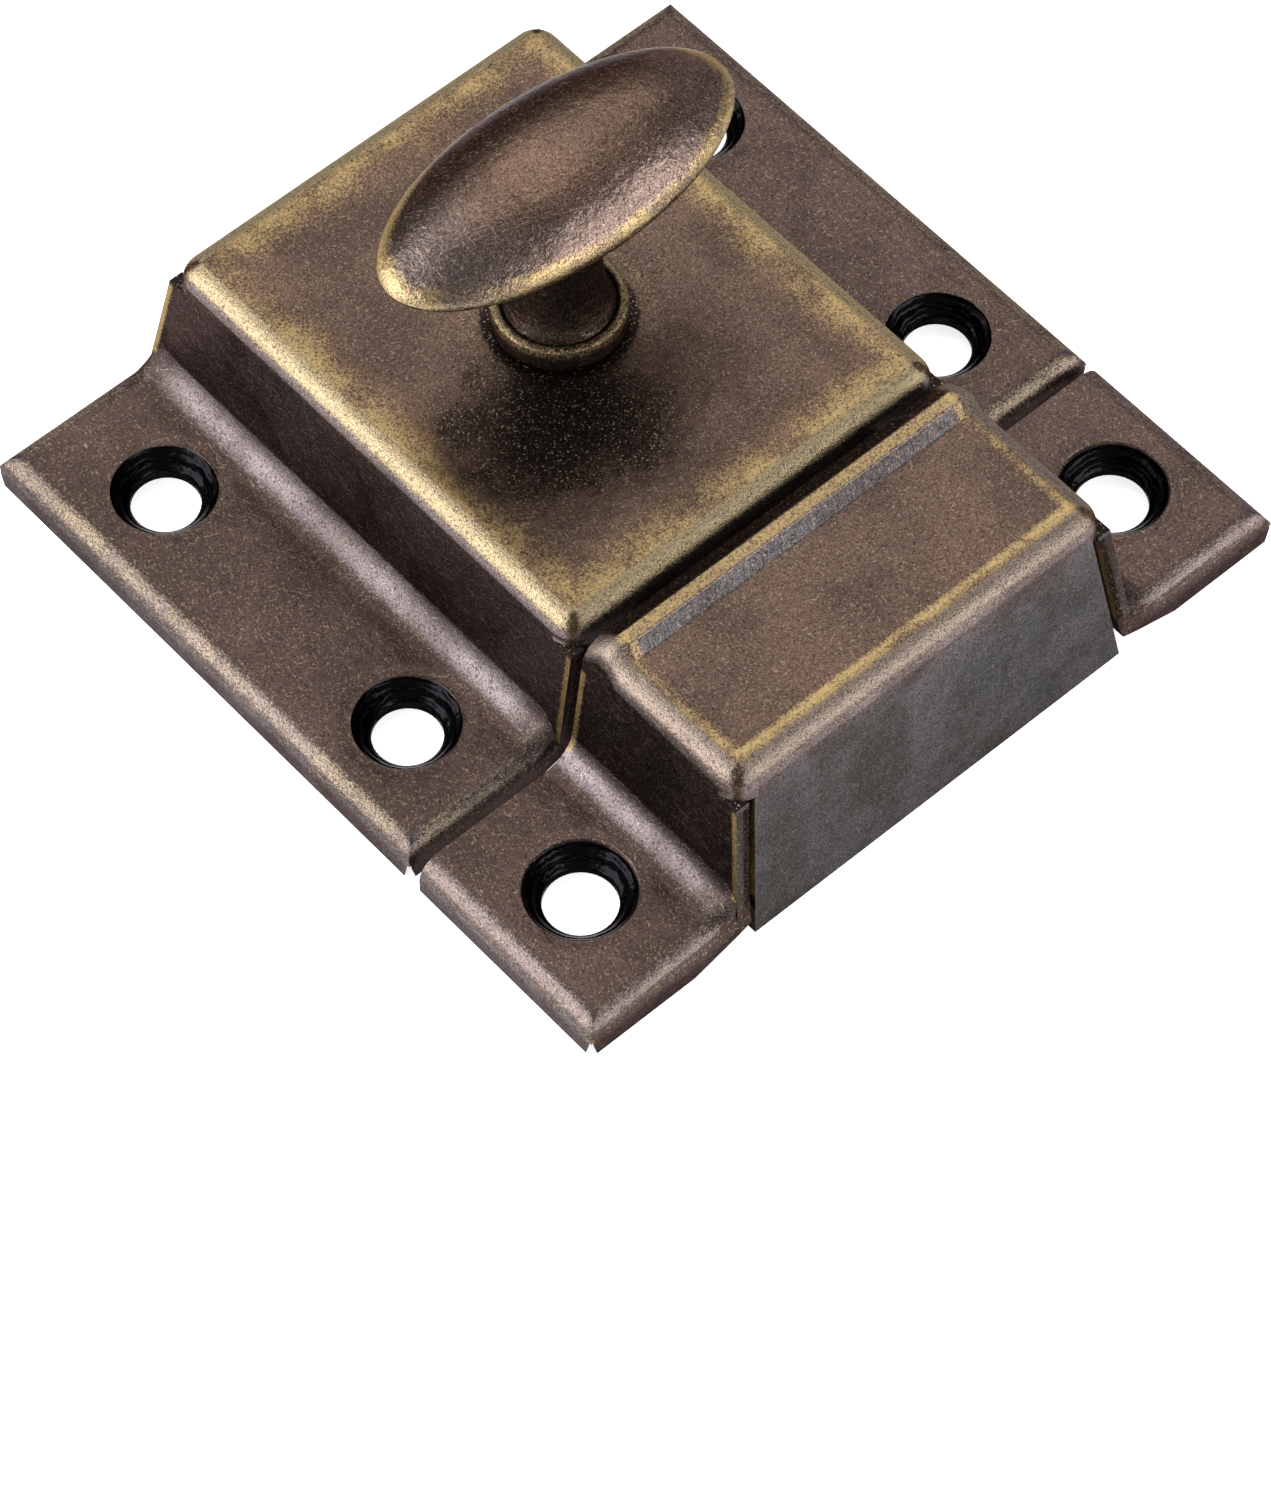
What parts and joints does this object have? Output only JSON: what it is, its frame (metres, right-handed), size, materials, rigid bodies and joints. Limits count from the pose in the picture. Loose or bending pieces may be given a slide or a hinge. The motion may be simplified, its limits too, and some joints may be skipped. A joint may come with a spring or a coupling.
{
  "type": "cupboard catch latch",
  "caption": "Cupboard turn latch: an oval knob on a raised pressed case draws a sprung bevelled bolt out of a matching screw-on strike.",
  "frame": {"origin": "middle of the footprint of case and strike together, on the mounting plane", "axes": "+Z out of the cupboard's face, +X across the flanges, +Y from the strike to the back of the case"},
  "size_m": [0.057, 0.0566, 0.0308],
  "materials": {
    "pressed_sheet": "antique brass patina over pressed steel, satin, edges worn to brass",
    "knob_casting": "antique brass patina over a zinc casting, satin, rim worn to brass",
    "plain_steel": "zinc plated, dull",
    "bolt_casting": "bare casting, dull, rubbed bright on the nose",
    "spring_steel": "bright spring wire"
  },
  "bodies": {
    "case_body": {"latch_case": "pressed_sheet", "guide_plate": "plain_steel", "spring_stud": "plain_steel", "bolt_spring": "spring_steel"},
    "knob_body": {"turn_knob": "knob_casting", "cam_hub": "bolt_casting", "top_washer": "plain_steel", "bottom_washer": "plain_steel"},
    "bolt_body": {"latch_bolt": "bolt_casting", "spring_pin": "plain_steel"},
    "strike_body": {"strike": "pressed_sheet"}
  },
  "joints": [
    {"name": "knob_turn", "type": "hinge", "parent": "case_body", "child": "knob_body", "pos_m": [0, 0.00685, 0], "axis": [0, 0, 1], "range_deg": [0, 60]},
    {"name": "bolt_slide", "type": "slide", "parent": "case_body", "child": "bolt_body", "axis": [0, 1, 0], "range_m": [0, 0.005], "stiffness_N_per_m": 800, "springref_m": -0.0015, "deforming": ["bolt_spring"]},
    {"name": "strike_part", "type": "slide", "parent": "case_body", "child": "strike_body", "axis": [0, -1, 0], "range_m": [0, 0.02]}
  ],
  "couplings": [
    {"joint": "knob_turn", "follows": "bolt_slide", "rad_per_m": 209.44}
  ]
}
